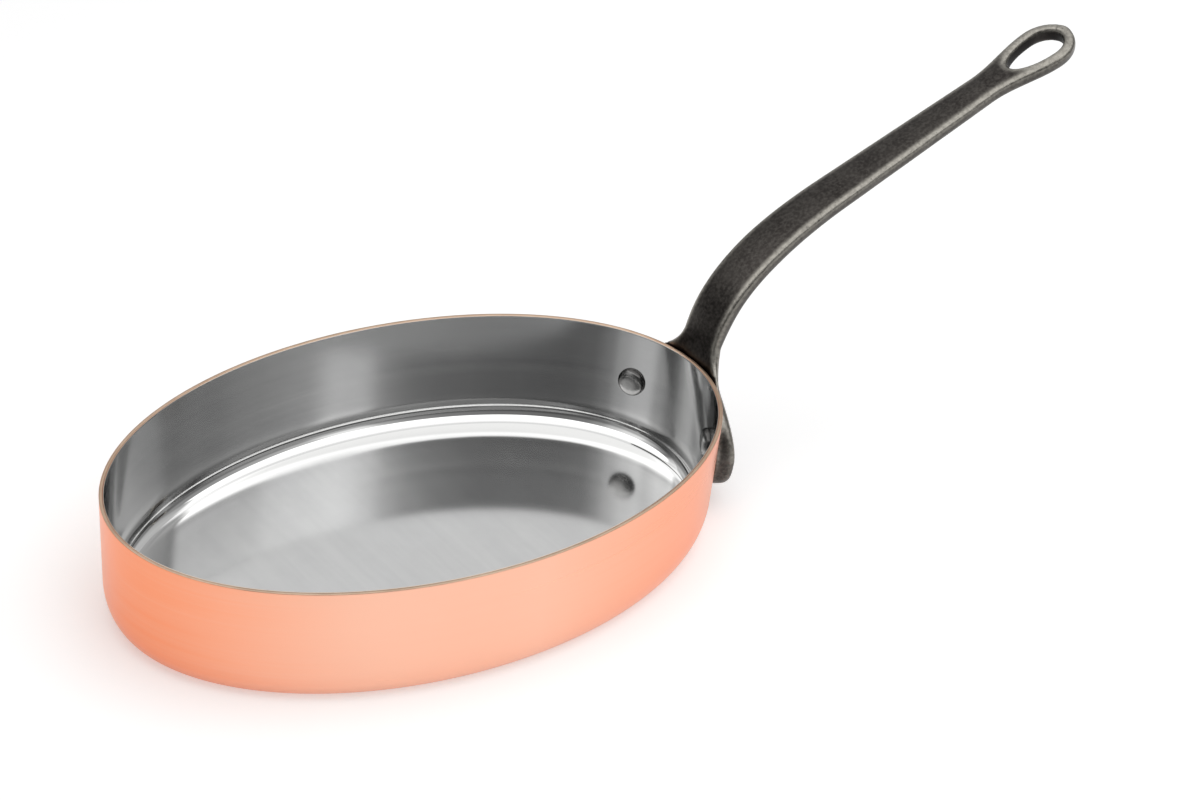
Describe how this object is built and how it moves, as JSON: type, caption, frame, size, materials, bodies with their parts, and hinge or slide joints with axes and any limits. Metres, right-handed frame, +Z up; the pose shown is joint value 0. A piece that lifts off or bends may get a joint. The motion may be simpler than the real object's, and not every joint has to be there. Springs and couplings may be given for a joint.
{
  "type": "oval frying pan",
  "caption": "Oval copper frying pan with a steel lining, a low upright wall and a long curved cast-iron handle that ends in a teardrop hanging loop.",
  "frame": {"origin": "centre of the base's underside", "axes": "+X along the handle away from the pan, +Y across the pan, +Z up out of the pan"},
  "size_m": [0.5118, 0.197, 0.1813],
  "materials": {
    "copper": "satin",
    "lining_steel": "satin",
    "cast_iron": "satin",
    "rivet_steel": "satin"
  },
  "bodies": {
    "root": {"copper_body": "copper", "steel_lining": "lining_steel", "handle": "cast_iron", "rivet_left": "rivet_steel", "rivet_right": "rivet_steel"}
  },
  "joints": []
}
